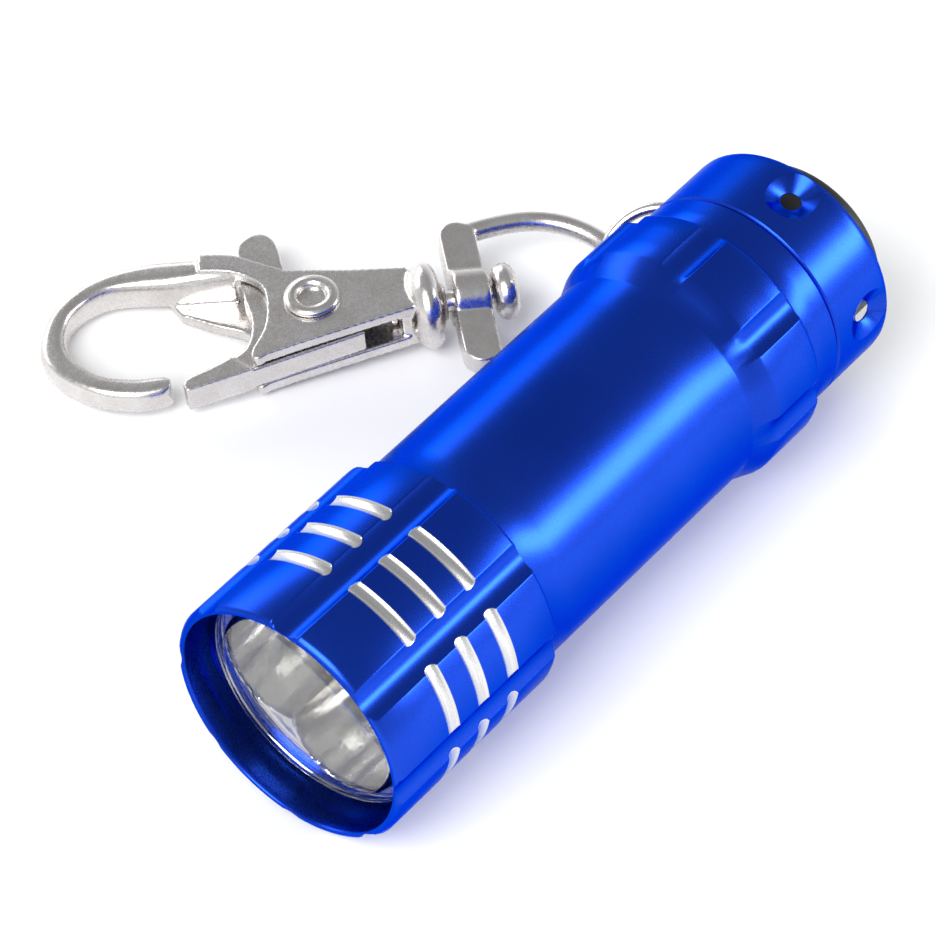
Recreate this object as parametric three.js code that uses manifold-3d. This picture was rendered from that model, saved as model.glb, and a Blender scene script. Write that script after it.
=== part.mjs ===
import * as THREE from "three";
import { mergeVertices } from "three/addons/utils/BufferGeometryUtils.js";
import Module from "manifold-3d";

const wasm = await Module();
wasm.setup();

// A keychain flashlight lying on its side, in millimetres. While it is built, +X runs from the lens to
// the push button along the light's axis, X = 0 is the front rim, and +Z is up. The last lines move the
// group so that its origin is the centre of the bottom of its bounding box.

// Body: head, barrel and rear collar turned from one bar
const HEAD_RADIUS = 10;
const COLLAR_RADIUS = 10;
const BARREL_RADIUS = 9.1;
const BODY_LENGTH = 48.3;
const HEAD_LENGTH = 17.3;
const COLLAR_START = BODY_LENGTH - 4.9;
const COLLAR_CONE_START = COLLAR_START - 2.2;
const LIP_RADIUS = HEAD_RADIUS - 0.4;
const RECESS_RADIUS = 9.25;
const MODULE_BORE_RADIUS = 8.4;
const RECESS_DEPTH = 5.5;
const MODULE_BORE_END = 14.6;

// Flutes milled along the head and the collar, and bright grooves turned round the head
const FLUTE_COUNT = 8;
const FLUTE_CUTTER_RADIUS = 2;
const FLUTE_CUTTER_LIFT = 1.48; // the cutter's axis above the surface it cuts
const GROOVE_STATIONS = [6, 9.2, 12.4];
const GROOVE_WIDTH = 1.1;
const GROOVE_DEPTH = 0.25;

// Lens and lamp module
const LENS_FRONT = 2.1;
const LENS_RADIUS = RECESS_RADIUS - 0.3;
const MODULE_RADIUS = MODULE_BORE_RADIUS - 0.3;
const REFLECTOR_FRONT = 4.2;
const REFLECTOR_REAR = 10.2;
const CUP_OFFSET = 3.75;
const CUP_RADIUS = 4.15;
const LED_RADIUS = 2.5;
const BOARD_FRONT = 10.9;
const BOARD_THICKNESS = 1.2;

// Cells
const CELL_COUNT = 4;
const CELL_RADIUS = 5.8;
const CELL_HEIGHT = 5.4;
const CELL_PITCH = 5.5;
const FIRST_CELL = 16.4;
const CELLS_END = FIRST_CELL + (CELL_COUNT - 1) * CELL_PITCH + CELL_HEIGHT;
const BARREL_BORE_RADIUS = CELL_RADIUS + 1.5;

// Tail cap and switch
const TAIL_FRONT = BODY_LENGTH + 0.3;
const TAIL_LENGTH = 9.4;
const TAIL_REAR = TAIL_FRONT + TAIL_LENGTH;
const TAIL_RADIUS = 9.1;
const TAIL_GROOVE = TAIL_FRONT + 3.1;
const THREAD_BORE_RADIUS = 8.25;
const SPIGOT_FRONT = TAIL_FRONT - 5.6;
const SPIGOT_RADIUS = THREAD_BORE_RADIUS - 0.7;
const SPIGOT_BORE_RADIUS = SPIGOT_RADIUS - 1.15;
const THREAD_CREST_RADIUS = THREAD_BORE_RADIUS - 0.2;
const THREAD_BORE_START = SPIGOT_FRONT - 0.5;
const THREAD_PITCH = 1;
const THREAD_START = SPIGOT_FRONT + 0.6;
const THREAD_TURNS = 3;
const SEAL_STATION = TAIL_FRONT - 0.8;
const SKIRT_RADIUS = TAIL_RADIUS - 0.8;
const RIB_FRONT = TAIL_REAR - 4.6;
const RIB_REAR = RIB_FRONT + 0.7;
const RIB_BORE_RADIUS = SPIGOT_BORE_RADIUS - 0.5;
const HOLE_STATION = TAIL_REAR - 2.4;
const HOLE_RADIUS = 1.6; // the lowest hole, opened out for the key ring
const DIMPLE_RADIUS = 0.8; // the bottom of the other holes' cones
const COUNTERSINK_RADIUS = 2.15;
const HOLE_ANGLES = [10, 82, 154, 226]; // degrees from straight up, toward -Y
const BUTTON_RADIUS = 6.7;
const BUTTON_END = TAIL_REAR + 2.5;
const PLUNGER_FRONT = RIB_FRONT - 3.8;

// Key ring
const RING_RADIUS = 4.5;
const RING_WIRE_RADIUS = 0.45;
const RING_NORMAL = [-0.96, -0.347, 1];

// Snap clip: its own frame has the swivel pin's axis along X toward the hook, and Z up
const CLIP_HEADING = 41.5;
const CLIP_PITCH = 4.7;
const EYE_PITCH = -2.7;
const EYE_ROLL = -2.4;
const EYE_WIRE_RADIUS = 0.8;
const EYE_BAR = 6.3;
const EYE_BOW_RADIUS = 7.2;
const EYE_BOW_CENTRE = -5.2;
const PIN_RADIUS = 0.8;
const PIN_HOLE_RADIUS = 1.3;
const BEAD_RADIUS = 3.35;
const PLATE_INSIDE = 1.1;
const PLATE_OUTSIDE = 2.05;
const HOOK_HALF_HEIGHT = 1.15;
const HOOK_ROOT_RISE = 0.85; // how much taller each side of the hook is where it leaves the plates
const TRIGGER_HALF = 0.95;
const PLATES_REACH = 7.35; // how far the plates' front corner is from the pivot, with room round it
const PIVOT = [11.8, -0.9];
const RIVET_RADIUS = 1.3;
const TRIGGER_REACH = 12.15;

const QUARTER_TURN = Math.PI / 2;

// Solids from three.js geometry, for the boolean steps
function solid(geometry) {
  const bare = geometry.clone();
  bare.deleteAttribute("normal");
  bare.deleteAttribute("uv");
  const merged = mergeVertices(bare, 1e-4);
  return new wasm.Manifold(
    new wasm.Mesh({
      numProp: 3,
      vertProperties: new Float32Array(merged.attributes.position.array),
      triVerts: new Uint32Array(merged.index.array),
    }),
  );
}

function geometryOf(shape) {
  const mesh = shape.getMesh();
  const stride = mesh.numProp;
  const positions = new Float32Array(mesh.numVert * 3);
  for (let i = 0; i < mesh.numVert; i++) {
    positions.set(mesh.vertProperties.subarray(i * stride, i * stride + 3), i * 3);
  }
  const geometry = new THREE.BufferGeometry();
  geometry.setAttribute("position", new THREE.BufferAttribute(positions, 3));
  geometry.setIndex(new THREE.BufferAttribute(new Uint32Array(mesh.triVerts), 1));
  return geometry;
}

// A body of revolution about X from [x, radius] points, closed unless it starts and ends on the axis
function turned(points, segments = 48) {
  const profile = points.map(([x, r]) => new THREE.Vector2(r, x));
  const open = points[0][1] === 0 && points.at(-1)[1] === 0;
  if (!open) profile.push(profile[0].clone());
  const geometry = new THREE.LatheGeometry(profile, segments);
  geometry.rotateZ(-QUARTER_TURN);
  return geometry;
}

// The same body at a place off the axis
function turnedAt(points, y, z, segments) {
  const geometry = turned(points, segments);
  geometry.translate(0, y, z);
  return geometry;
}

// A round rod along X
function rod(x0, x1, radius, segments = 24) {
  return turned([[x0, 0], [x0, radius], [x1, radius], [x1, 0]], segments);
}

// A short cylinder along Z round the trigger's pivot
function onPivot(radius, height, z, segments) {
  const geometry = new THREE.CylinderGeometry(radius, radius, height, segments);
  geometry.rotateX(QUARTER_TURN);
  geometry.translate(PIVOT[0], PIVOT[1], z);
  return solid(geometry);
}

// A flat shape in the X-Y plane raised from z0 to z1
function plate(shape, z0, z1, curveSegments = 12) {
  const geometry = new THREE.ExtrudeGeometry(shape, {
    depth: z1 - z0,
    bevelEnabled: false,
    curveSegments,
  });
  geometry.translate(0, 0, z0);
  return geometry;
}

// A closed shape through [x, y] corners
function outline(points) {
  const shape = new THREE.Shape();
  points.forEach(([x, y], i) => {
    if (i === 0) shape.moveTo(x, y);
    else shape.lineTo(x, y);
  });
  shape.closePath();
  return shape;
}

// Evenly spaced points on a smooth line through a few
function smooth(points, count) {
  const curve = new THREE.SplineCurve(points.map(([x, y]) => new THREE.Vector2(x, y)));
  return curve.getSpacedPoints(count).map((p) => [p.x, p.y]);
}

// A round wire along a curve
function tube(curve, radius, steps, sides = 10) {
  const section = outline(Array.from({ length: sides }, (_, i) => {
    const angle = (i / sides) * 2 * Math.PI;
    return [radius * Math.cos(angle), radius * Math.sin(angle)];
  }));
  return new THREE.ExtrudeGeometry(section, { steps, extrudePath: curve, bevelEnabled: false });
}

// A coil along X whose radius changes from r0 to r1
class Coil extends THREE.Curve {
  constructor(x0, x1, r0, r1, turns) {
    super();
    Object.assign(this, { x0, x1, r0, r1, turns });
  }
  getPoint(t, target = new THREE.Vector3()) {
    const angle = t * this.turns * 2 * Math.PI;
    const radius = this.r0 + (this.r1 - this.r0) * t;
    const x = this.x0 + (this.x1 - this.x0) * t;
    return target.set(x, radius * Math.cos(angle), radius * Math.sin(angle));
  }
}

// A coil spring whose wire stays upright to the axis
function spring(x0, x1, r0, r1, turns, wire, perTurn = 10) {
  return sweptAboutX(new Coil(x0, x1, r0, r1, turns), [
    [-wire, 0], [-0.3 * wire, -0.95 * wire], [0.8 * wire, -0.6 * wire],
    [0.8 * wire, 0.6 * wire], [-0.3 * wire, 0.95 * wire],
  ], Math.round(turns * perTurn));
}

// Sweeps an [x, radius] section along a coil, keeping it in the plane through the axis
function sweptAboutX(coil, section, steps) {
  const positions = [];
  const index = [];
  const n = section.length;
  for (let i = 0; i <= steps; i++) {
    const p = coil.getPoint(i / steps);
    const out = new THREE.Vector3(0, p.y, p.z).normalize();
    for (const [dx, dr] of section) {
      positions.push(p.x + dx, p.y + dr * out.y, p.z + dr * out.z);
    }
  }
  for (let i = 0; i < steps; i++) {
    for (let j = 0; j < n; j++) {
      const a = i * n + j;
      const b = i * n + ((j + 1) % n);
      index.push(a, b, a + n, b, b + n, a + n);
    }
  }
  for (let j = 1; j < n - 1; j++) {
    index.push(0, j + 1, j);
    index.push(steps * n, steps * n + j, steps * n + j + 1);
  }
  const geometry = new THREE.BufferGeometry();
  geometry.setAttribute("position", new THREE.Float32BufferAttribute(positions, 3));
  geometry.setIndex(index);
  return geometry;
}

// A bar between two edge lines in the X-Y plane, with a rounded section as tall as heightAt says
function bar(left, right, heightAt, sides = 12) {
  const positions = [];
  const index = [];
  const rounded = (value) => Math.sign(value) * Math.abs(value) ** 0.65;
  left.forEach(([ax, ay], i) => {
    const [bx, by] = right[i];
    const half = heightAt(i / (left.length - 1));
    for (let k = 0; k < sides; k++) {
      const angle = ((k + 0.5) / sides) * 2 * Math.PI;
      const across = rounded(Math.cos(angle)) / 2;
      positions.push(
        (ax + bx) / 2 + (ax - bx) * across,
        (ay + by) / 2 + (ay - by) * across,
        half * rounded(Math.sin(angle)),
      );
    }
  });
  const last = (left.length - 1) * sides;
  for (let start = 0; start < last; start += sides) {
    for (let k = 0; k < sides; k++) {
      const a = start + k;
      const b = start + ((k + 1) % sides);
      index.push(a, b, a + sides, b, b + sides, a + sides);
    }
  }
  for (let k = 1; k < sides - 1; k++) {
    index.push(0, k + 1, k);
    index.push(last, last + k, last + k + 1);
  }
  const geometry = new THREE.BufferGeometry();
  geometry.setAttribute("position", new THREE.Float32BufferAttribute(positions, 3));
  geometry.setIndex(index);
  return geometry;
}

// The same closed surface with its faces turned outward
function outward(geometry) {
  const shape = solid(geometry);
  if (shape.volume() > 0) return geometry;
  const flipped = geometry.index.array.slice();
  for (let i = 0; i < flipped.length; i += 3) {
    [flipped[i + 1], flipped[i + 2]] = [flipped[i + 2], flipped[i + 1]];
  }
  geometry.setIndex(new THREE.BufferAttribute(flipped, 1));
  return geometry;
}

const flashlight = new THREE.Group();
flashlight.name = "keychain_flashlight";

function add(name, geometry, color, metalness, roughness, parent = flashlight) {
  const material = new THREE.MeshStandardMaterial({ color, metalness, roughness });
  const mesh = new THREE.Mesh(geometry, material);
  mesh.name = name;
  parent.add(mesh);
  return mesh;
}

const BLUE = 0x1a3fd0;
const NICKEL = 0xb8b4b0;
const STEEL = 0x9a9a9e;
const BLACK = 0x151517;

// Body tube
const bodyProfile = [
  [0, RECESS_RADIUS],
  [RECESS_DEPTH, RECESS_RADIUS],
  [RECESS_DEPTH, MODULE_BORE_RADIUS],
  [MODULE_BORE_END, MODULE_BORE_RADIUS],
  [MODULE_BORE_END, BARREL_BORE_RADIUS],
  [THREAD_BORE_START, BARREL_BORE_RADIUS],
  [THREAD_BORE_START, THREAD_BORE_RADIUS],
  [BODY_LENGTH, THREAD_BORE_RADIUS],
  [BODY_LENGTH, COLLAR_RADIUS - 0.3],
  [BODY_LENGTH - 0.3, COLLAR_RADIUS],
  [COLLAR_START, COLLAR_RADIUS],
  [COLLAR_CONE_START, BARREL_RADIUS],
  [HEAD_LENGTH, BARREL_RADIUS],
  [HEAD_LENGTH, HEAD_RADIUS - 0.3],
  [HEAD_LENGTH - 0.3, HEAD_RADIUS],
  [0.5, HEAD_RADIUS],
  [0, LIP_RADIUS],
];
let body = solid(outward(turned(bodyProfile, 48)));
for (const station of GROOVE_STATIONS) {
  const half = GROOVE_WIDTH / 2;
  const floor = HEAD_RADIUS - GROOVE_DEPTH;
  const groove = turned([
    [station - half - 0.2, HEAD_RADIUS + 0.2],
    [station - half + 0.2, floor],
    [station + half - 0.2, floor],
    [station + half + 0.2, HEAD_RADIUS + 0.2],
  ], 48);
  body = body.subtract(solid(outward(groove)));
}
const fluteRuns = [
  [-1, HEAD_LENGTH + 2, HEAD_RADIUS + FLUTE_CUTTER_LIFT],
  [COLLAR_CONE_START - 2, BODY_LENGTH + 1, COLLAR_RADIUS + FLUTE_CUTTER_LIFT],
];
for (const [start, end, height] of fluteRuns) {
  for (let i = 0; i < FLUTE_COUNT; i++) {
    const angle = (i / FLUTE_COUNT) * 2 * Math.PI;
    const flute = rod(start, end, FLUTE_CUTTER_RADIUS, 18);
    flute.translate(0, -height * Math.sin(angle), height * Math.cos(angle));
    body = body.subtract(solid(outward(flute)));
  }
}
add("body_tube", geometryOf(body), BLUE, 0.8, 0.3);

// Lens: a clear disc with a bevelled raised face on a flange
const lensProfile = [
  [LENS_FRONT, 0],
  [LENS_FRONT, 7.5],
  [LENS_FRONT + 0.4, 7.9],
  [LENS_FRONT + 0.8, 7.9],
  [LENS_FRONT + 0.8, LENS_RADIUS],
  [LENS_FRONT + 1.8, LENS_RADIUS],
  [LENS_FRONT + 1.8, 0],
];
add("lens", outward(turned(lensProfile, 40)), 0xe8f0f4, 0, 0.05);

// Reflector with three cups, one for each lamp
const reflectorProfile = [
  [REFLECTOR_FRONT, 0],
  [REFLECTOR_FRONT, LENS_RADIUS],
  [REFLECTOR_FRONT + 1, LENS_RADIUS],
  [REFLECTOR_FRONT + 1, MODULE_RADIUS],
  [REFLECTOR_REAR, MODULE_RADIUS],
  [REFLECTOR_REAR, 0],
];
let reflector = solid(outward(turned(reflectorProfile, 40)));
const lampPlaces = [];
for (let i = 0; i < 3; i++) {
  // Angles from straight up, toward the front-left side of the light
  const angle = ((30 + i * 120) * Math.PI) / 180;
  lampPlaces.push([-CUP_OFFSET * Math.sin(angle), CUP_OFFSET * Math.cos(angle)]);
}
for (const [y, z] of lampPlaces) {
  const cup = [[REFLECTOR_FRONT - 1, 0], [REFLECTOR_FRONT - 1, CUP_RADIUS]];
  for (let k = 0; k <= 5; k++) {
    const depth = k / 5;
    cup.push([REFLECTOR_FRONT + 4.4 * depth, CUP_RADIUS * Math.sqrt(1 - 0.52 * depth)]);
  }
  cup.push([REFLECTOR_REAR + 1, LED_RADIUS + 0.3]);
  cup.push([REFLECTOR_REAR + 1, 0]);
  reflector = reflector.subtract(solid(outward(turnedAt(cup, y, z, 20))));
}
add("reflector", geometryOf(reflector), 0xd8dadc, 1, 0.08);

// Lamps, 5 mm type: a flange, a straight body and a domed end
lampPlaces.forEach(([y, z], i) => {
  const base = BOARD_FRONT - 0.15;
  const tip = 6.2;
  const dome = [[tip, 0]];
  for (let k = 1; k <= 4; k++) {
    const angle = (k / 4) * QUARTER_TURN;
    dome.push([tip + LED_RADIUS * (1 - Math.cos(angle)), LED_RADIUS * Math.sin(angle)]);
  }
  const lamp = [...dome, [base, LED_RADIUS], [base, 0]];
  add("led_" + (i + 1), outward(turnedAt(lamp, y, z, 16)), 0xf2f4e0, 0, 0.1);
});

// Lamp board, with its series resistor on the back
const boardRear = BOARD_FRONT + BOARD_THICKNESS;
add("led_board", outward(rod(BOARD_FRONT, boardRear, MODULE_RADIUS, 40)), 0x1d6b35, 0, 0.5);
const resistor = new THREE.BoxGeometry(0.6, 3.2, 1.6);
resistor.translate(boardRear + 0.45, 0, 5.4);
add("resistor", resistor, 0x202022, 0, 0.5);
add(
  "front_contact_spring",
  outward(spring(boardRear + 0.45, FIRST_CELL - 0.5, 3.6, 1.6, 3, 0.22)),
  STEEL, 1, 0.3,
);

// Battery sleeve and button cells
const sleeveInside = CELL_RADIUS + 0.25;
const sleeveOutside = BARREL_BORE_RADIUS - 0.3;
const sleeve = [
  [FIRST_CELL - 0.6, sleeveInside],
  [CELLS_END + 0.6, sleeveInside],
  [CELLS_END + 0.6, sleeveOutside],
  [FIRST_CELL - 0.6, sleeveOutside],
];
add("battery_sleeve", outward(turned(sleeve, 40)), 0xe6e6e2, 0, 0.5);
for (let i = 0; i < CELL_COUNT; i++) {
  const x = FIRST_CELL + i * CELL_PITCH;
  const cell = [
    [x, 0],
    [x, CELL_RADIUS - 0.9],
    [x + 0.5, CELL_RADIUS - 0.9],
    [x + 0.5, CELL_RADIUS],
    [x + CELL_HEIGHT, CELL_RADIUS],
    [x + CELL_HEIGHT, 0],
  ];
  add("cell_" + (i + 1), outward(turned(cell, 24)), 0xc8c8ca, 1, 0.25);
}

// Tail cap: threaded spigot, seal groove, rib and skirt with four countersunk holes
const tailProfile = [
  [SPIGOT_FRONT, SPIGOT_BORE_RADIUS],
  [RIB_FRONT, SPIGOT_BORE_RADIUS],
  [RIB_FRONT, RIB_BORE_RADIUS],
  [RIB_REAR, RIB_BORE_RADIUS],
  [RIB_REAR, SKIRT_RADIUS],
  [TAIL_REAR - 0.1, SKIRT_RADIUS],
  [TAIL_REAR, SKIRT_RADIUS + 0.1],
  [TAIL_REAR, TAIL_RADIUS - 0.3],
  [TAIL_REAR - 0.1, TAIL_RADIUS - 0.1],
  [TAIL_REAR - 0.35, TAIL_RADIUS],
  [TAIL_GROOVE + 0.2, TAIL_RADIUS],
  [TAIL_GROOVE, TAIL_RADIUS - 0.3],
  [TAIL_GROOVE - 0.2, TAIL_RADIUS],
  [TAIL_FRONT + 0.15, TAIL_RADIUS],
  [TAIL_FRONT, TAIL_RADIUS - 0.15],
  [TAIL_FRONT, SPIGOT_RADIUS],
  [SEAL_STATION + 0.55, SPIGOT_RADIUS],
  [SEAL_STATION + 0.55, SPIGOT_RADIUS - 0.5],
  [SEAL_STATION - 0.55, SPIGOT_RADIUS - 0.5],
  [SEAL_STATION - 0.55, SPIGOT_RADIUS],
  [SPIGOT_FRONT + 0.3, SPIGOT_RADIUS],
  [SPIGOT_FRONT, SPIGOT_RADIUS - 0.3],
];
let tailCap = solid(outward(turned(tailProfile, 48)));
const threadEnd = THREAD_START + THREAD_PITCH * THREAD_TURNS;
const helix = new Coil(THREAD_START, threadEnd, SPIGOT_RADIUS, SPIGOT_RADIUS, THREAD_TURNS);
const crest = THREAD_CREST_RADIUS - SPIGOT_RADIUS;
const threadSection = [[-0.4, -0.1], [0.4, -0.1], [0.08, crest], [-0.08, crest]];
const ridge = outward(sweptAboutX(helix, threadSection, THREAD_TURNS * 18));
tailCap = tailCap.add(solid(ridge));
const drill = (bore, coneStart) => [
  [SKIRT_RADIUS - 1, 0],
  [SKIRT_RADIUS - 1, bore],
  [coneStart, bore],
  [TAIL_RADIUS - 0.08, COUNTERSINK_RADIUS],
  [TAIL_RADIUS + 1, COUNTERSINK_RADIUS],
  [TAIL_RADIUS + 1, 0],
];
for (const degrees of HOLE_ANGLES) {
  const lowest = degrees === HOLE_ANGLES.at(-1);
  const hole = lowest ? drill(HOLE_RADIUS, TAIL_RADIUS - 0.55) : drill(DIMPLE_RADIUS, SKIRT_RADIUS + 0.05);
  const cutter = outward(turned(hole, 20));
  cutter.rotateY(-QUARTER_TURN);
  cutter.rotateX((degrees * Math.PI) / 180);
  cutter.translate(HOLE_STATION, 0, 0);
  tailCap = tailCap.subtract(solid(cutter));
}
add("tail_cap", geometryOf(tailCap), BLUE, 0.8, 0.3);

// Tail seal: an O-ring in the spigot's groove
const seal = [];
for (let k = 0; k < 8; k++) {
  const angle = (k / 8) * 2 * Math.PI;
  seal.push([SEAL_STATION + 0.45 * Math.cos(angle), SPIGOT_RADIUS + 0.11 + 0.48 * Math.sin(angle)]);
}
add("tail_seal", outward(turned(seal, 32)), BLACK, 0, 0.7);

// Switch: housing, its retaining ring, plunger and springs
const housing = [
  [SPIGOT_FRONT + 2.2, 1.6],
  [SPIGOT_FRONT + 3.4, 1.6],
  [SPIGOT_FRONT + 3.4, 4],
  [RIB_FRONT - 1.1, 4],
  [RIB_FRONT - 1.1, SPIGOT_BORE_RADIUS - 0.3],
  [SPIGOT_FRONT + 2.2, SPIGOT_BORE_RADIUS - 0.3],
];
add("switch_housing", outward(turned(housing, 36)), 0x2a2a2c, 0, 0.5);
const retainer = [
  [SPIGOT_FRONT + 1.1, SPIGOT_BORE_RADIUS - 1.5],
  [SPIGOT_FRONT + 1.9, SPIGOT_BORE_RADIUS - 1.5],
  [SPIGOT_FRONT + 1.9, SPIGOT_BORE_RADIUS - 0.2],
  [SPIGOT_FRONT + 1.1, SPIGOT_BORE_RADIUS - 0.2],
];
add("retaining_ring", outward(turned(retainer, 36)), STEEL, 1, 0.35);
add(
  "tail_contact_spring",
  outward(spring(CELLS_END + 0.3, SPIGOT_FRONT + 1.9, 2.4, 3.8, 4, 0.25)),
  STEEL, 1, 0.3,
);
const plunger = [
  [PLUNGER_FRONT, 0],
  [PLUNGER_FRONT, 3.2],
  [RIB_REAR + 2.1, 3.2],
  [RIB_REAR + 2.1, 4.6],
  [BUTTON_END - 1.6, 4.6],
  [BUTTON_END - 1.6, 0],
];
add("plunger", outward(turned(plunger, 28)), 0xdededa, 0, 0.4);
add(
  "switch_spring",
  outward(spring(SPIGOT_FRONT + 3.75, PLUNGER_FRONT - 0.35, 2.6, 2.6, 3, 0.2)),
  STEEL, 1, 0.3,
);

// Rubber button boot: a flange inside the cap, a neck through the rib and a domed cover
const boot = [
  [BUTTON_END - 1.3, 0],
  [BUTTON_END - 1.3, 4.9],
  [RIB_FRONT - 0.8, 4.9],
  [RIB_FRONT - 0.8, SPIGOT_BORE_RADIUS - 0.25],
  [RIB_FRONT - 0.2, SPIGOT_BORE_RADIUS - 0.25],
  [RIB_FRONT - 0.2, RIB_BORE_RADIUS - 0.25],
  [RIB_REAR + 0.2, RIB_BORE_RADIUS - 0.25],
  [RIB_REAR + 0.2, BUTTON_RADIUS],
  [BUTTON_END - 0.6, BUTTON_RADIUS],
  [BUTTON_END - 0.2, BUTTON_RADIUS - 0.15],
  [BUTTON_END, BUTTON_RADIUS - 0.6],
  [BUTTON_END + 0.1, BUTTON_RADIUS - 2.4],
  [BUTTON_END + 0.1, 0],
];
add("button_boot", outward(turned(boot, 32)), BLACK, 0, 0.8);

// Key ring, through the lowest hole and over the cap's rim. Its centre is out from where its wire
// crosses the hole, so the ring stays in the hole when its radius or the cap's changes.
const lowestHole = (HOLE_ANGLES.at(-1) * Math.PI) / 180;
const holeOut = new THREE.Vector3(0, -Math.sin(lowestHole), Math.cos(lowestHole));
const holeAcross = new THREE.Vector3(0, holeOut.z, -holeOut.y);
const ringCentre = new THREE.Vector3(HOLE_STATION + 0.2595, 0, 0)
  .addScaledVector(holeOut, TAIL_RADIUS - 0.764)
  .addScaledVector(holeAcross, 0.8521)
  .addScaledVector(new THREE.Vector3(-0.1199, 0.9679, 0.2208), RING_RADIUS);
const keyRing = add(
  "key_ring",
  new THREE.TorusGeometry(RING_RADIUS, RING_WIRE_RADIUS, 8, 40),
  NICKEL, 1, 0.2,
);
const ringNormal = new THREE.Vector3(...RING_NORMAL).normalize();
keyRing.quaternion.setFromUnitVectors(new THREE.Vector3(0, 0, 1), ringNormal);
keyRing.position.copy(ringCentre);

// Snap clip. In its own frame +X runs along the swivel pin toward the hook and +Z is up.
function clipFrame(origin, pitch, roll) {
  const frame = new THREE.Group();
  frame.rotation.order = "ZYX";
  frame.rotation.set(
    (roll * Math.PI) / 180,
    (pitch * Math.PI) / 180,
    Math.PI - (CLIP_HEADING * Math.PI) / 180,
  );
  frame.position.copy(origin);
  flashlight.add(frame);
  return frame;
}
// The eye hangs on the far side of the ring, and the clip's pin sits in the middle of the eye's hole
const eyeOrigin = ringCentre.clone()
  .addScaledVector(new THREE.Vector3(-0.2722, 0.9604, -0.058), RING_RADIUS)
  .add(new THREE.Vector3(-9.8551, 5.2182, -0.199));
const clipOrigin = eyeOrigin.clone().add(new THREE.Vector3(0.06, 0.05, -0.13));
const eyeFrame = clipFrame(eyeOrigin, EYE_PITCH, EYE_ROLL);
const clip = clipFrame(clipOrigin, CLIP_PITCH, 0);

// Swivel eye: a bar with a boss round the pin, and a bow that closes the loop
class Bow extends THREE.Curve {
  getPoint(t, target = new THREE.Vector3()) {
    const side = t < 0.5 ? 1 : -1;
    const s = t < 0.5 ? t * 2 : (1 - t) * 2;
    const straight = 0.3;
    if (s < straight) {
      const k = s / straight;
      const x = -0.2 + (EYE_BOW_CENTRE + 0.2) * k;
      const y = EYE_BAR + (EYE_BOW_RADIUS - EYE_BAR) * Math.sin(k * QUARTER_TURN);
      return target.set(x, side * y, 0);
    }
    const angle = ((s - straight) / (1 - straight)) * QUARTER_TURN;
    const x = EYE_BOW_CENTRE - EYE_BOW_RADIUS * Math.sin(angle);
    return target.set(x, side * EYE_BOW_RADIUS * Math.cos(angle), 0);
  }
}
const barShape = new THREE.Shape();
barShape.moveTo(-1.3, -EYE_BAR);
barShape.absarc(0.1, EYE_BAR - 0.6, 1.4, 0, Math.PI, false);
barShape.absarc(0.1, -EYE_BAR + 0.6, 1.4, Math.PI, 2 * Math.PI, false);
barShape.closePath();
let eye = solid(outward(plate(barShape, -0.85, 0.85, 8)));
eye = eye.add(solid(outward(rod(-1.35, 1.5, 2.2, 24))));
eye = eye.add(solid(outward(tube(new Bow(), EYE_WIRE_RADIUS, 40, 8))));
eye = eye.subtract(solid(outward(rod(-2, 2, PIN_HOLE_RADIUS, 24))));
add("swivel_eye", geometryOf(eye), NICKEL, 1, 0.22, eyeFrame);

// Swivel pin: a round head inside the loop, a shaft and a riveted end inside the clip
add(
  "swivel_pin",
  outward(turned([
    [-3.7, 0], [-3.7, 1.4], [-3.3, 2], [-2.7, 2.2], [-2.1, 2], [-1.75, 1.5],
    [-1.75, PIN_RADIUS], [5.75, PIN_RADIUS], [5.75, 1.02], [6.2, 1], [6.3, 0],
  ], 28)),
  NICKEL, 1, 0.22, clip,
);

// Clip body: two plates, their side and rear walls, the hook and the bead round the pin
const nearEdge = [[4.4, 1.8], [9, 2.6], [13.5, 3.4], [16, 3.9]];
const nearCorner = smooth([[16, 3.9], [16.7, 4.2], [17.1, 3.7], [16.9, 3]], 6);
const farEdge = [[13.4, -4.4], [9, -3.3], [4.4, -2.4]];
const farShoulder = smooth([[19.6, -7.6], [17.2, -7], [15.2, -5.7], [13.4, -4.4]], 8);
const topJaw = smooth([[16.9, 3], [15.7, 1], [15.2, -1.6], [15.5, -3.6], [17.4, -5.2], [19.8, -5.9]], 12);
const lowJaw = smooth([[16.9, 3], [16.1, 0.4], [17, -1.5], [19.2, -2.9], [21.6, -4.6]], 10);
const nearSide = [...nearEdge, ...nearCorner.slice(1)];
const farSide = [...farShoulder, ...farEdge.slice(1)];
const topPlate = outline([...nearSide, ...topJaw.slice(1), ...farSide]);
const lowPlate = outline([...nearSide, ...lowJaw.slice(1), [22.4, -6.4], [21.4, -7.9], ...farSide]);
const hookOutside = smooth([
  [17.2, -7], [20.3, -7.95], [24, -8.6], [27.8, -8], [31.1, -5.6], [32.6, -2], [31.9, 0.9],
  [29.2, 3.6], [26.4, 4.8], [24.2, 4.9], [23.4, 4.4],
], 36);
const hookInside = smooth([
  [17.2, -4.9], [19.8, -5.3], [22, -5.6], [26.6, -6.3], [29.4, -5], [30.5, -2.8], [30.2, -0.4],
  [28.4, 1.8], [25.8, 2.8], [23.7, 3.1], [23.3, 3.7],
], 36);
const hook = bar(hookOutside, hookInside, (t) => HOOK_HALF_HEIGHT + HOOK_ROOT_RISE * (1 - t) ** 3);
let clipBody = solid(outward(plate(topPlate, PLATE_INSIDE, PLATE_OUTSIDE)));
clipBody = clipBody.add(solid(outward(plate(lowPlate, -PLATE_OUTSIDE, -PLATE_INSIDE))));
clipBody = clipBody.add(solid(outward(hook)));
const wallShape = outline([[4.4, -2.4], [9, -3.3], [9, -2.5], [5.5, -1.8], [5.5, 1.6], [4.4, 1.8]]);
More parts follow.
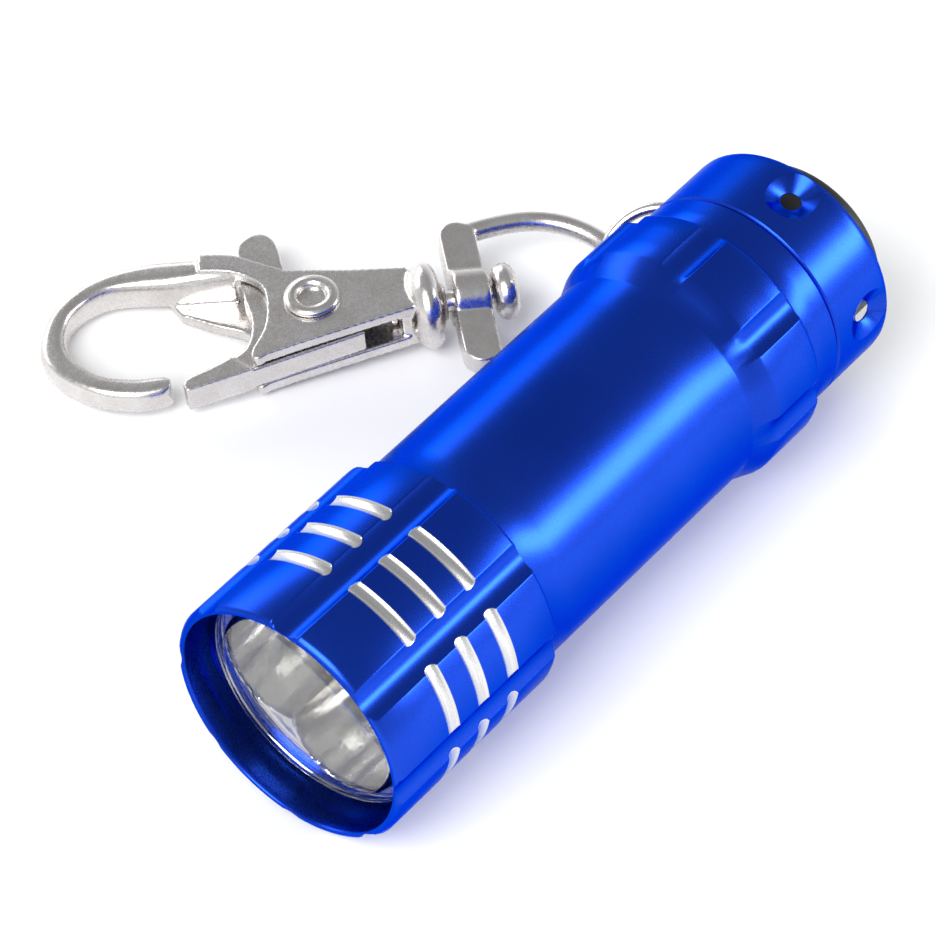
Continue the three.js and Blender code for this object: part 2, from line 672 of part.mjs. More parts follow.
const wall = plate(wallShape, -PLATE_OUTSIDE + 0.1, PLATE_OUTSIDE - 0.1);
clipBody = clipBody.add(solid(outward(wall)));
const bead = turned([
  [1.85, 0], [1.85, 1.35], [2.15, 1.4], [2.3, 2.4], [2.7, 3.1], [3.2, BEAD_RADIUS], [3.8, 3.2], [4.3, 2.7],
  [4.7, 2], [4.7, 0],
], 32);
clipBody = clipBody.add(solid(outward(bead)));
clipBody = clipBody.subtract(solid(outward(rod(1, 5.6, PIN_RADIUS + 0.1, 24))));
const rivetHole = onPivot(RIVET_RADIUS + 0.2, 8, 0, 20);
clipBody = clipBody.subtract(rivetHole);
add("clip_body", geometryOf(clipBody), NICKEL, 1, 0.22, clip);

// Trigger: the gate arm that closes the hook, a hub on the rivet and the thumb tab
const triggerShape = outline([
  ...smooth([[8.4, 2.5], [13.6, 3.55], [19, 4.65], [22.1, 5.25], [22.8, 5], [22.75, 4.6]], 14),
  ...smooth([[22.5, 4.1], [21.6, 3.8], [19.4, 3], [17.4, 1.8], [16.6, -0.6], [16.8, -3.4]], 12),
  ...smooth([
    [16.75, -6], [16.6, -8.6], [15.9, -9.5], [15, -9.8], [14.2, -9.5], [13.6, -8.4], [13.4, -5.6],
  ], 14),
  ...smooth([[13.2, -3.6], [11.4, -3], [9.6, -1.6], [9, 0.2], [8.5, 1.4]], 8),
]);
// The arm is as tall as the hook past the plates, and thinner between them
const armSide = new THREE.BoxGeometry(30, 12, 8);
armSide.translate(PIVOT[0] + 15, 6, 0);
let trigger = solid(outward(plate(triggerShape, -HOOK_HALF_HEIGHT, HOOK_HALF_HEIGHT)));
trigger = trigger.intersect(solid(armSide));
trigger = trigger.subtract(onPivot(PLATES_REACH, 8, 0, 90));
trigger = trigger.add(solid(outward(plate(triggerShape, -TRIGGER_HALF, TRIGGER_HALF))));
trigger = trigger.intersect(onPivot(TRIGGER_REACH, 8, 0, 120));
trigger = trigger.subtract(rivetHole);
trigger = trigger.subtract(onPivot(2.35, 2, 1, 28));
add("trigger", geometryOf(trigger), NICKEL, 1, 0.25, clip);

// Hollow rivet, rolled over on both plates
const rivet = turned([
  [-2.5, 1.25], [-2.5, 1.8], [-2.1, 1.8], [-2.1, RIVET_RADIUS], [2.12, RIVET_RADIUS], [2.12, 2.05],
  [2.4, 2.05], [2.65, 1.7], [2.65, 1.3], [2.3, 1], [-2.2, 1],
], 20);
rivet.rotateY(-QUARTER_TURN);
rivet.translate(PIVOT[0], PIVOT[1], 0);
add("trigger_rivet", outward(rivet), NICKEL, 1, 0.22, clip);

// Trigger return spring: a small torsion coil round the rivet, with two legs
class TorsionSpring extends THREE.Curve {
  getPoint(t, target = new THREE.Vector3()) {
    const radius = 1.8;
    const turns = 2;
    const leg = 0.12;
    if (t < leg) {
      const k = 1 - t / leg;
      return target.set(PIVOT[0] - 2 * k, PIVOT[1] - radius, 0.25);
    }
    if (t > 1 - leg) {
      const k = (t - 1 + leg) / leg;
      return target.set(PIVOT[0] + 1.2 * k, PIVOT[1] - radius, 0.75);
    }
    const s = (t - leg) / (1 - 2 * leg);
    const angle = -QUARTER_TURN + s * turns * 2 * Math.PI;
    return target.set(
      PIVOT[0] + radius * Math.cos(angle),
      PIVOT[1] + radius * Math.sin(angle),
      0.25 + 0.5 * s,
    );
  }
}
add("trigger_spring", outward(tube(new TorsionSpring(), 0.16, 40, 5)), STEEL, 1, 0.3, clip);

// Origin at the centre of the bottom of the bounding box
flashlight.updateMatrixWorld(true);
const box = new THREE.Box3().setFromObject(flashlight, true);
const centre = box.getCenter(new THREE.Vector3());
flashlight.position.set(-centre.x, -centre.y, -box.min.z);

export default flashlight;
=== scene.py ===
from math import atan2, copysign, cos, hypot, pi, radians, sin, sqrt

import bmesh
import bpy
from mathutils import Matrix, Vector


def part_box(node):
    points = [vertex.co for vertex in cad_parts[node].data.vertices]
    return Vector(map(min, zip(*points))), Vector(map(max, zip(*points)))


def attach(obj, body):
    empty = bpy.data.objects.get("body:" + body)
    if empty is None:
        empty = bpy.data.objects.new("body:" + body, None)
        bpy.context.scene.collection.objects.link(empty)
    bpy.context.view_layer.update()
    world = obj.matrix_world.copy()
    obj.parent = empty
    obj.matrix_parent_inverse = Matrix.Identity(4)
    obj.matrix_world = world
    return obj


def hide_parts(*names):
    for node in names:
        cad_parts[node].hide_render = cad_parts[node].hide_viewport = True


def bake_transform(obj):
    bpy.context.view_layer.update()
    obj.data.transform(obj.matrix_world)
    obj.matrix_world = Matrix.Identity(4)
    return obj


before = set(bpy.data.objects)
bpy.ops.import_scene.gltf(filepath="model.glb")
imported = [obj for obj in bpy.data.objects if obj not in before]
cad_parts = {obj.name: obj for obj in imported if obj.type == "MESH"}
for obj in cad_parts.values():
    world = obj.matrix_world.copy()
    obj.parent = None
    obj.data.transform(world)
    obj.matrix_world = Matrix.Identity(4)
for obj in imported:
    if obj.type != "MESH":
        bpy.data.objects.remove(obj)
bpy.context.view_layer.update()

# Lengths below are in millimetres, in the light's own frame: X from the front rim toward the button,
# the axis at Y = Z = 0, and Z up. ORIGIN puts that frame in the row frame, in metres.
MM = 0.001
body_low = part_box("body_tube")[0]
lens_low, lens_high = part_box("lens")
ORIGIN = Vector((body_low.x, (lens_low.y + lens_high.y) / 2, (lens_low.z + lens_high.z) / 2))
LIGHT = Matrix.Translation(ORIGIN) @ Matrix.Scale(MM, 4)
SHARP_ANGLE = radians(38)
CUT_SHARP_ANGLE = radians(32)

# Body
HEAD_RADIUS = 10
BARREL_RADIUS = 9.1
BODY_LENGTH = 48.3
HEAD_LENGTH = 17.3
GROOVE_STATIONS = (6, 9.2, 12.4)
GROOVE_HALF_WIDTH = 0.58
GROOVE_DEPTH = 0.25
FLUTE_COUNT = 8
FLUTE_RADIUS = 2
FLUTE_CENTRE = 11.48
FLUTE_BLEND = 0.07
SKIN_FROM = 9.05
CELL_BORE_RADIUS = 7.3
HEAD_BORE_RADIUS = 8.4
LENS_SEAT_RADIUS = 9.25
THREAD_BORE_RADIUS = 8.25
THREAD_PITCH = 1
THREAD_GROOVE_DEPTH = 0.18
BORE_THREAD = (42.6, 48.1)

# Lamp module
LENS_FRONT = 2.1
REFLECTOR_FRONT = 4.2
REFLECTOR_FACE_RADIUS = 8.1
LENS_RADIUS = 8.95
CUP_OFFSET = 3.75
CUP_RADIUS = 4.15
CUP_DEPTH = 4.4
CUP_WALL_SHARE = 0.52
LED_RADIUS = 2.5
LED_TIP = 6.2
LED_BASE = 10.75

# Tail
TAIL_FRONT = 48.6
TAIL_REAR = 58
TAIL_RADIUS = 9.1
SPIGOT_RADIUS = 7.55
SPIGOT_THREAD = (43.35, 46.9)
SPIGOT_THREAD_HEIGHT = 0.48
HOLE_STATION = 55.6
HOLE_RADIUS = 1.6
DIMPLE_RADIUS = 0.8
COUNTERSINK_RADIUS = 2.15
HOLE_ANGLES = (10, 82, 154, 226)
BUTTON_RADIUS = 6.7
BUTTON_END = 60.5
SWITCH_SPRING = (46.75, 49.25)
SWITCH_SPRING_RADIUS = 2.6
SWITCH_SPRING_WIRE = 0.2

# Key ring and snap clip
RING_RADIUS = 4.5
RING_WIRE = 0.45
RING_CENTRE = Vector((55.32, 9.76, -5.41))
RING_NORMAL = Vector((-0.96, -0.347, 1))
EYE_ORIGIN = (44.24, 19.3, -5.87)
CLIP_ORIGIN = (44.3, 19.35, -6)
CLIP_HEADING = 41.5
CLIP_PITCH = 4.7
EYE_PITCH = -2.7
EYE_ROLL = -2.4
PIVOT = (11.8, -0.9)
HOOK_HALF_HEIGHT = 1.15
HOOK_ROOT_RISE = 0.85
TRIGGER_HALF = 0.95
PLATES_REACH = 7.35
PLATE_INSIDE = 1.1
PLATE_OUTSIDE = 2.05
WALL_HALF = 1.95
EYE_BAR_END = 5.7
EYE_BAR_RADIUS = 1.4
EYE_WIRE = 0.8
EYE_BAR_HALF = 0.85
BOW_START = 6.3
BOW_RADIUS = 7.2
BOW_CENTRE = -5.2
SPRING_RADIUS = 1.8
SPRING_WIRE = 0.16
SPRING_FRONT = 0.25
SPRING_BACK = 0.75


# ---------------------------------------------------------------- mesh helpers

def piece(name, vertices, faces, matrix, body, nodes=(), slot=None):
    """A mesh from points in millimetres, put in the row frame and riding on a CAD body."""
    mesh = bpy.data.meshes.new(name)
    mesh.from_pydata([matrix @ Vector(v) for v in vertices], [], faces)
    mesh.validate()
    return finished(name, mesh, body, nodes)


def finished(name, mesh, body, nodes=()):
    """An object from a mesh in the row frame: cleaned, shaded, and put on a CAD body."""
    build = bmesh.new()
    build.from_mesh(mesh)
    bmesh.ops.remove_doubles(build, verts=build.verts, dist=1e-7)
    bmesh.ops.recalc_face_normals(build, faces=build.faces)
    build.to_mesh(mesh)
    build.free()
    mesh.shade_smooth()
    mesh.set_sharp_from_angle(angle=SHARP_ANGLE)
    made = bpy.data.objects.new(name, mesh)
    bpy.context.scene.collection.objects.link(made)
    if body:
        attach(made, body)
    if nodes:
        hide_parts(*nodes)
    return made


def fillet(points, radius, steps=3, closed=True):
    """The [x, r] profile with its corners rounded."""
    out = []
    count = len(points)
    for i, here in enumerate(points):
        if not closed and i in (0, count - 1):
            out.append(tuple(here))
            continue
        p = Vector(here[:2])
        a, b = Vector(points[i - 1][:2]), Vector(points[(i + 1) % count][:2])
        to_a, to_b = a - p, b - p
        reach = min(radius, 0.45 * to_a.length, 0.45 * to_b.length)
        start, end = p + to_a.normalized() * reach, p + to_b.normalized() * reach
        for k in range(steps + 1):
            t = k / steps
            out.append(tuple(start * (1 - t) ** 2 + p * 2 * t * (1 - t) + end * t ** 2))
    return out


def revolve(profile, angles, closed=True, radius_at=None):
    """Vertices and faces of an [x, r] profile turned about X."""
    vertices, faces = [], []
    rows, columns = len(profile), len(angles)
    for angle in angles:
        for x, r in profile:
            if radius_at:
                r = radius_at(x, r, angle)
            vertices.append((x, -r * sin(angle), r * cos(angle)))
    for j in range(columns):
        k = (j + 1) % columns
        for i in range(rows if closed else rows - 1):
            n = (i + 1) % rows
            faces.append((j * rows + i, j * rows + n, k * rows + n, k * rows + i))
    return vertices, faces


def turns(count):
    """Evenly spaced angles round a full turn."""
    return [2 * pi * i / count for i in range(count)]


def turned(name, profile, count, matrix, body, nodes=(), slot=None, radius=0.12, closed=True):
    """A piece turned about X, with its profile's corners rounded."""
    rounded = fillet(profile, radius, closed=closed) if radius else profile
    return piece(name, *revolve(rounded, turns(count), closed), matrix, body, nodes, slot)


def swept(points, radius, sides, closed=False):
    """Vertices and faces of a round wire along points."""
    vertices, faces = [], []
    count = len(points)
    points = [Vector(p) for p in points]
    side = None
    for i, p in enumerate(points):
        ahead = points[(i + 1) % count] if closed or i < count - 1 else p
        behind = points[i - 1] if closed or i > 0 else p
        along = (ahead - behind).normalized()
        if side is None:
            side = along.orthogonal().normalized()
        side = (side - along * side.dot(along)).normalized()
        up = along.cross(side)
        for k in range(sides):
            a = 2 * pi * k / sides
            vertices.append(p + side * (radius * cos(a)) + up * (radius * sin(a)))
    for i in range(count if closed else count - 1):
        j = (i + 1) % count
        for k in range(sides):
            n = (k + 1) % sides
            faces.append((i * sides + k, i * sides + n, j * sides + n, j * sides + k))
    if not closed:
        faces.append(tuple(range(sides))[::-1])
        faces.append(tuple((count - 1) * sides + k for k in range(sides)))
    return vertices, faces


def smooth_line(points, count):
    """Evenly spaced points on a Catmull-Rom line through [x, y] points."""
    dense = []
    last = len(points) - 1
    for i in range(last):
        p0, p1 = Vector(points[max(i - 1, 0)]), Vector(points[i])
        p2, p3 = Vector(points[i + 1]), Vector(points[min(i + 2, last)])
        for k in range(24):
            t = k / 24
            dense.append(0.5 * (
                2 * p1 + (p2 - p0) * t + (2 * p0 - 5 * p1 + 4 * p2 - p3) * t ** 2
                + (3 * p1 - p0 - 3 * p2 + p3) * t ** 3))
    dense.append(Vector(points[-1]))
    lengths = [0.0]
    for a, b in zip(dense, dense[1:]):
        lengths.append(lengths[-1] + (b - a).length)
    out, k = [], 0
    for i in range(count + 1):
        want = lengths[-1] * i / count
        while k < len(lengths) - 2 and lengths[k + 1] < want:
            k += 1
        span = lengths[k + 1] - lengths[k]
        t = (want - lengths[k]) / span if span else 0
        out.append(tuple(dense[k].lerp(dense[k + 1], t)))
    return out


def prism(outline, z0, z1):
    """Vertices and faces of a flat outline raised from z0 to z1."""
    count = len(outline)
    vertices = [(x, y, z0) for x, y in outline] + [(x, y, z1) for x, y in outline]
    faces = [tuple(range(count))[::-1], tuple(range(count, 2 * count))]
    faces += [(i, (i + 1) % count, (i + 1) % count + count, i + count) for i in range(count)]
    return vertices, faces


def bar(left, right, sides=28):
    """A bar between two edge lines, with a rounded section that is tallest where the bar starts."""
    vertices, faces = [], []
    last = len(left) - 1
    for i, (a, b) in enumerate(zip(left, right)):
        half = HOOK_HALF_HEIGHT + HOOK_ROOT_RISE * (1 - i / last) ** 3
        middle, reach = (Vector(a) + Vector(b)) / 2, (Vector(a) - Vector(b)) / 2
        for k in range(sides):
            angle = 2 * pi * (k + 0.5) / sides
            across, up = (copysign(abs(v) ** 0.65, v) for v in (cos(angle), sin(angle)))
            vertices.append((*(middle + reach * across), half * up))
    for i in range(last):
        for k in range(sides):
            n = (k + 1) % sides
            faces.append((i * sides + k, i * sides + n, (i + 1) * sides + n, (i + 1) * sides + k))
    faces.append(tuple(range(sides))[::-1])
    faces.append(tuple(last * sides + k for k in range(sides)))
    return vertices, faces


def gather(solids):
    """One list of vertices and one of faces from several solids."""
    vertices, faces = [], []
    for own_vertices, own_faces in solids:
        base = len(vertices)
        vertices += own_vertices
        faces += [tuple(base + i for i in f) for f in own_faces]
    return vertices, faces


def cast(name, solids, matrix, body, nodes, voxel, rounds):
    """One cast piece: closed solids fused into one skin with soft edges."""
    vertices, faces = gather(solids)
    mesh = bpy.data.meshes.new(name)
    mesh.from_pydata([Vector(v) for v in vertices], [], faces)
    build = bmesh.new()
    build.from_mesh(mesh)
    bmesh.ops.triangulate(build, faces=[f for f in build.faces if len(f.verts) > 4])
    bmesh.ops.recalc_face_normals(build, faces=build.faces)
    build.to_mesh(mesh)
    build.free()
    scratch = bpy.data.objects.new(name + "_rough", mesh)
    bpy.context.scene.collection.objects.link(scratch)
    remesh = scratch.modifiers.new("Skin", "REMESH")
    remesh.mode = "VOXEL"
    remesh.voxel_size = voxel
    soften = scratch.modifiers.new("Soft edges", "SMOOTH")
    soften.factor = 0.5
    soften.iterations = rounds
    graph = bpy.context.evaluated_depsgraph_get()
    skin = bpy.data.meshes.new_from_object(scratch.evaluated_get(graph))
    bpy.data.objects.remove(scratch)
    skin.transform(matrix)
    skin.name = name
    skin.shade_smooth()
    made = bpy.data.objects.new(name, skin)
    bpy.context.scene.collection.objects.link(made)
    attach(made, body)
    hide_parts(*nodes)
    return made


# ---------------------------------------------------------------- materials

def material(name, **sockets):
    """A new material, its node tree and its shader, with the shader's own sockets set."""
    made = bpy.data.materials.new(name)
    made.use_nodes = True
    shader = made.node_tree.nodes["Principled BSDF"]
    for key, value in sockets.items():
        shader.inputs[key.replace("_", " ")].default_value = value
    return made, made.node_tree, shader


def noise(tree, scale, stretch=(1, 1, 1), detail=4.0, rough=0.5):
    """Noise in the object's own space, in cycles per millimetre, stretched along each axis."""
    where = tree.nodes.new("ShaderNodeTexCoord")
    mapping = tree.nodes.new("ShaderNodeMapping")
    mapping.inputs["Scale"].default_value = [scale / MM * s for s in stretch]
    texture = tree.nodes.new("ShaderNodeTexNoise")
    texture.inputs["Scale"].default_value = 1
    texture.inputs["Detail"].default_value = detail
    texture.inputs["Roughness"].default_value = rough
    tree.links.new(where.outputs["Object"], mapping.inputs["Vector"])
    tree.links.new(mapping.outputs["Vector"], texture.inputs["Vector"])
    return texture.outputs["Fac"]


def ramp(tree, value, low, high, start, end):
    """The value taken from low..high to start..end."""
    made = tree.nodes.new("ShaderNodeMapRange")
    made.inputs["From Min"].default_value = low
    made.inputs["From Max"].default_value = high
    made.inputs["To Min"].default_value = start
    made.inputs["To Max"].default_value = end
    tree.links.new(value, made.inputs["Value"])
    return made.outputs["Result"]


def mix_colour(tree, factor, a, b):
    """A colour between a and b."""
    made = tree.nodes.new("ShaderNodeMix")
    made.data_type = "RGBA"
    made.inputs["A"].default_value = (*a, 1)
    made.inputs["B"].default_value = (*b, 1)
    tree.links.new(factor, made.inputs["Factor"])
    return made.outputs["Result"]


def tint(tree, shader, factor, a, b):
    """The shader's colour, between two colours."""
    tree.links.new(mix_colour(tree, factor, a, b), shader.inputs["Base Color"])


def sheen(tree, shader, value, low, high, start, end):
    """The shader's roughness, from start to end as the value goes from low to high."""
    tree.links.new(ramp(tree, value, low, high, start, end), shader.inputs["Roughness"])


def bump(tree, shader, height, strength, distance, after=None):
    """Small relief, in millimetres, on top of any relief given as after."""
    made = tree.nodes.new("ShaderNodeBump")
    made.inputs["Strength"].default_value = strength
    made.inputs["Distance"].default_value = distance * MM
    tree.links.new(height, made.inputs["Height"])
    if after:
        tree.links.new(after, made.inputs["Normal"])
    tree.links.new(made.outputs["Normal"], shader.inputs["Normal"])
    return made.outputs["Normal"]


def anodised():
    """Blue anodised aluminium with fine turning lines, bare where the grooves were cut after colouring."""
    made, tree, shader = material("Blue anodised aluminium", Metallic=1.0, Specular_Tint=(0.25, 0.4, 1, 1))
    lines = noise(tree, 9, (1, 0.02, 0.02), 3)
    cloud = noise(tree, 0.12, (1, 1, 1), 2)
    grain = noise(tree, 14, (1, 1, 1), 2)
    blue = mix_colour(tree, ramp(tree, cloud, 0.3, 0.7, 0, 1), (0.011, 0.052, 0.50), (0.014, 0.062, 0.56))
    bare = tree.nodes.new("ShaderNodeAttribute")
    bare.attribute_name = "bare"
    edge = ramp(tree, bare.outputs["Fac"], 0.4, 0.6, 0, 1)
    silver = mix_colour(tree, ramp(tree, lines, 0.3, 0.7, 0, 1), (0.60, 0.59, 0.58), (0.76, 0.75, 0.74))
    both = tree.nodes.new("ShaderNodeMix")
    both.data_type = "RGBA"
    tree.links.new(edge, both.inputs["Factor"])
    tree.links.new(blue, both.inputs["A"])
    tree.links.new(silver, both.inputs["B"])
    tree.links.new(both.outputs["Result"], shader.inputs["Base Color"])
    sheen(tree, shader, grain, 0.2, 0.8, 0.22, 0.32)
    first = bump(tree, shader, lines, 0.12, 0.01)
    bump(tree, shader, grain, 0.08, 0.006, first)
    return made


def nickel():
    """Nickel plate over a casting, with a soft ripple and patchy gloss."""
    made, tree, shader = material("Polished nickel plate", Metallic=1.0)
    cloud = noise(tree, 0.5, (1, 1, 1), 4)
    fine = noise(tree, 3.5, (1, 1, 1), 5, 0.65)
    tint(tree, shader, ramp(tree, cloud, 0.35, 0.65, 0, 1), (0.66, 0.625, 0.60), (0.73, 0.705, 0.69))
    sheen(tree, shader, fine, 0.3, 0.75, 0.2, 0.34)
    first = bump(tree, shader, cloud, 0.15, 0.05)
    bump(tree, shader, fine, 0.05, 0.01, first)
    return made


def steel_wire():
    made, tree, shader = material("Spring wire", Metallic=1.0)
    fine = noise(tree, 6, (1, 1, 1), 3)
    tint(tree, shader, fine, (0.45, 0.45, 0.46), (0.62, 0.61, 0.6))
    sheen(tree, shader, fine, 0.3, 0.7, 0.2, 0.4)
    bump(tree, shader, fine, 0.1, 0.02)
    return made


def rubber():
    made, tree, shader = material("Black silicone rubber", Specular_IOR_Level=0.4)
    fine = noise(tree, 8, (1, 1, 1), 4)
    tint(tree, shader, fine, (0.006, 0.006, 0.007), (0.016, 0.016, 0.017))
    sheen(tree, shader, fine, 0.3, 0.7, 0.42, 0.6)
    bump(tree, shader, fine, 0.35, 0.02)
    return made


def plastic(name, dark, light, roughness):
    made, tree, shader = material(name)
    fine = noise(tree, 4, (1, 1, 1), 4)
    tint(tree, shader, fine, dark, light)
    sheen(tree, shader, fine, 0.3, 0.7, roughness, roughness + 0.15)
    bump(tree, shader, fine, 0.15, 0.02)
    return made


def mirror_coat():
    """Vacuum-metallised plastic, a little rippled."""
    made, tree, shader = material("Metallised reflector", Metallic=1.0)
    cloud = noise(tree, 0.8, (1, 1, 1), 3)
    tint(tree, shader, cloud, (0.44, 0.43, 0.41), (0.60, 0.58, 0.55))
    sheen(tree, shader, cloud, 0.3, 0.7, 0.08, 0.2)
    bump(tree, shader, cloud, 0.25, 0.12)
    return made


def clear(name, colour, roughness, ior=1.49):
    """A clear material, a little darker and lighter from place to place."""
    made, tree, shader = material(name, Transmission_Weight=1.0, IOR=ior)
    fine = noise(tree, 2.5, (1, 1, 1), 3)
    tint(tree, shader, fine, colour, tuple(min(1, c * 1.02) for c in colour))
    sheen(tree, shader, fine, 0.3, 0.7, roughness, roughness + 0.02)
    bump(tree, shader, fine, 0.05, 0.01)
    return made


def glow_powder():
    made, tree, shader = material("Yellow phosphor")
    fine = noise(tree, 10, (1, 1, 1), 4)
    tint(tree, shader, fine, (0.72, 0.62, 0.16), (0.85, 0.78, 0.35))
    shader.inputs["Roughness"].default_value = 0.6
    bump(tree, shader, fine, 0.3, 0.03)
    return made


BLUE = anodised()
NICKEL = nickel()
WIRE = steel_wire()
RUBBER = rubber()
MIRROR = mirror_coat()
LENS = clear("Clear acrylic lens", (0.97, 0.98, 0.985), 0.0)
EPOXY = clear("Clear LED epoxy", (0.95, 0.97, 0.93), 0.02, 1.5)
PHOSPHOR = glow_powder()
WHITE_PLASTIC = plastic("White moulded plastic", (0.72, 0.72, 0.70), (0.82, 0.82, 0.80), 0.35)
BLACK_PLASTIC = plastic("Black moulded plastic", (0.012, 0.012, 0.013), (0.025, 0.025, 0.026), 0.4)
BOARD = plastic("Green circuit board", (0.012, 0.11, 0.04), (0.02, 0.16, 0.06), 0.3)


def paint(made, *materials):
    """Gives an object its materials, in the order of its faces' material numbers."""
    made.data.materials.clear()
    for one in materials:
        made.data.materials.append(one)
    return made


# ---------------------------------------------------------------- body tube

def flute_radius(angle):
    """How far from the axis the nearest flute's floor is at an angle."""
    step = 2 * pi / FLUTE_COUNT
    off = (angle + step / 2) % step - step / 2
    side = FLUTE_CENTRE * sin(off)
    if abs(side) >= FLUTE_RADIUS:
        return 99.0
    return FLUTE_CENTRE * cos(off) - sqrt(FLUTE_RADIUS ** 2 - side ** 2)


def soft_min(a, b):
    """The smaller of two lengths, with the change from one to the other rounded over."""
    h = max(FLUTE_BLEND - abs(a - b), 0) / FLUTE_BLEND
    return min(a, b) - h * h * FLUTE_BLEND / 4


def flute_angles():
    """Columns round the light, close together where the flutes meet the panels."""
    half = [0, 1, 2, 3, 3.8, 4.5, 5, 5.3, 5.6, 5.9, 6.2, 6.5, 6.75, 6.95, 7.1, 7.25, 7.4, 7.6, 7.9, 8.4, 9.2]
    half += [10.4 + 1.21 * k for k in range(10)]
    sector = [-a for a in half[:0:-1]] + half
    return [radians(45 * i + a) for i in range(FLUTE_COUNT) for a in sector]


def body_profile():
    """The body's closed [x, r] profile: outside from front to rear, then the bores from rear to front."""
    outside = [(0, 9.62), (0.12, 9.8), (0.45, HEAD_RADIUS)]
    for station in GROOVE_STATIONS:
        outside.append((station - GROOVE_HALF_WIDTH - 0.12, HEAD_RADIUS))
        for k in range(13):
            u = k / 6 - 1
            depth = GROOVE_DEPTH * (1 - u * u) ** 0.6
            outside.append((station + GROOVE_HALF_WIDTH * u, HEAD_RADIUS - depth))
        outside.append((station + GROOVE_HALF_WIDTH + 0.12, HEAD_RADIUS))
    outside += [(16.95, HEAD_RADIUS), (17.18, 9.93), (17.28, 9.8), (HEAD_LENGTH, 9.6), (HEAD_LENGTH, 9.25)]
    outside += [(17.34, 9.15), (17.45, BARREL_RADIUS)]
    outside += [(20 + 3 * k, BARREL_RADIUS) for k in range(7)]
    outside += [(41.1, BARREL_RADIUS), (41.3, 9.13), (42.3, 9.55), (43.2, 9.93), (43.5, HEAD_RADIUS)]
    outside += [(45, HEAD_RADIUS), (46.6, HEAD_RADIUS), (47.9, HEAD_RADIUS), (48.12, 9.95), (48.25, 9.85)]
    bore = [(BODY_LENGTH, 9.7), (BODY_LENGTH, 8.35), (48.2, THREAD_BORE_RADIUS)]
    bore += [(48.2 - 0.1 * k, THREAD_BORE_RADIUS) for k in range(1, 57)]
    bore += [(42.5, THREAD_BORE_RADIUS), (42.5, CELL_BORE_RADIUS), (30, CELL_BORE_RADIUS)]
    bore += [(14.6, CELL_BORE_RADIUS), (14.6, HEAD_BORE_RADIUS), (5.5, HEAD_BORE_RADIUS)]
    bore += [(x, LENS_SEAT_RADIUS) for x in (5.5, 3, 0.5)] + [(0.15, 9.28), (0.02, 9.36)]
    return outside + bore


def thread_phase(x, angle):
    """How far through its turn the thread is at a place, from 0 to 1."""
    return ((x - THREAD_PITCH * angle / (2 * pi)) / THREAD_PITCH) % 1


def body_radius(x, r, angle):
    """The profile's radius at an angle: cut by the flutes outside, and threaded in the rear bore."""
    if r > SKIN_FROM:
        return soft_min(r, flute_radius(angle))
    if abs(r - THREAD_BORE_RADIUS) < 0.01 and BORE_THREAD[0] < x < BORE_THREAD[1]:
        share = max(0, 1 - abs(thread_phase(x, angle) - 0.5) / 0.35)
        return THREAD_BORE_RADIUS + THREAD_GROOVE_DEPTH * share
    return r


def make_body():
    """The body tube, with an attribute that says where the colour has been cut away."""
    profile, angles = body_profile(), flute_angles()
    vertices, faces = revolve(profile, angles, True, body_radius)
    made = piece("body_tube_shell", vertices, faces, LIGHT, "light_body", ["body_tube"], "blue_anodised")
    to_light = LIGHT.inverted()
    bare = made.data.attributes.new("bare", "FLOAT", "POINT")
    for i, vertex in enumerate(made.data.vertices):
        p = to_light @ vertex.co
        gap = min(abs(p.x - s) for s in GROOVE_STATIONS)
        cut = HEAD_RADIUS - GROOVE_DEPTH * max(0, 1 - (gap / GROOVE_HALF_WIDTH) ** 2) ** 0.6
        inside = (GROOVE_HALF_WIDTH - gap) if gap < GROOVE_HALF_WIDTH + 0.2 else -1
        above = flute_radius(atan2(-p.y, p.z)) - cut
        bare.data[i].value = min(1, max(0, 0.5 + min(inside, above * 1.5) / 0.12))
    return paint(made, BLUE)


make_body()


# ---------------------------------------------------------------- lamp module

lens = turned("lens_disc", [
    (LENS_FRONT, 0.0), (LENS_FRONT, 7.5), (LENS_FRONT + 0.4, 7.9), (LENS_FRONT + 0.8, 7.9),
    (LENS_FRONT + 0.8, LENS_RADIUS), (LENS_FRONT + 1.8, LENS_RADIUS), (LENS_FRONT + 1.8, 0.0),
], 128, LIGHT, "light_body", ["lens"], "clear_lens", 0.1, closed=False)
paint(lens, LENS)

lamp_places = []
for i in range(3):
    a = radians(30 + 120 * i)
    lamp_places.append((-CUP_OFFSET * sin(a), CUP_OFFSET * cos(a)))


def cup_depth(y, z):
    """How far behind the reflector's face its surface lies at a place."""
    depth = 0.0
    for cy, cz in lamp_places:
        share = hypot(y - cy, z - cz) / CUP_RADIUS
        depth = max(depth, CUP_DEPTH * min(1, max(0, (1 - share * share) / CUP_WALL_SHARE)))
    return depth


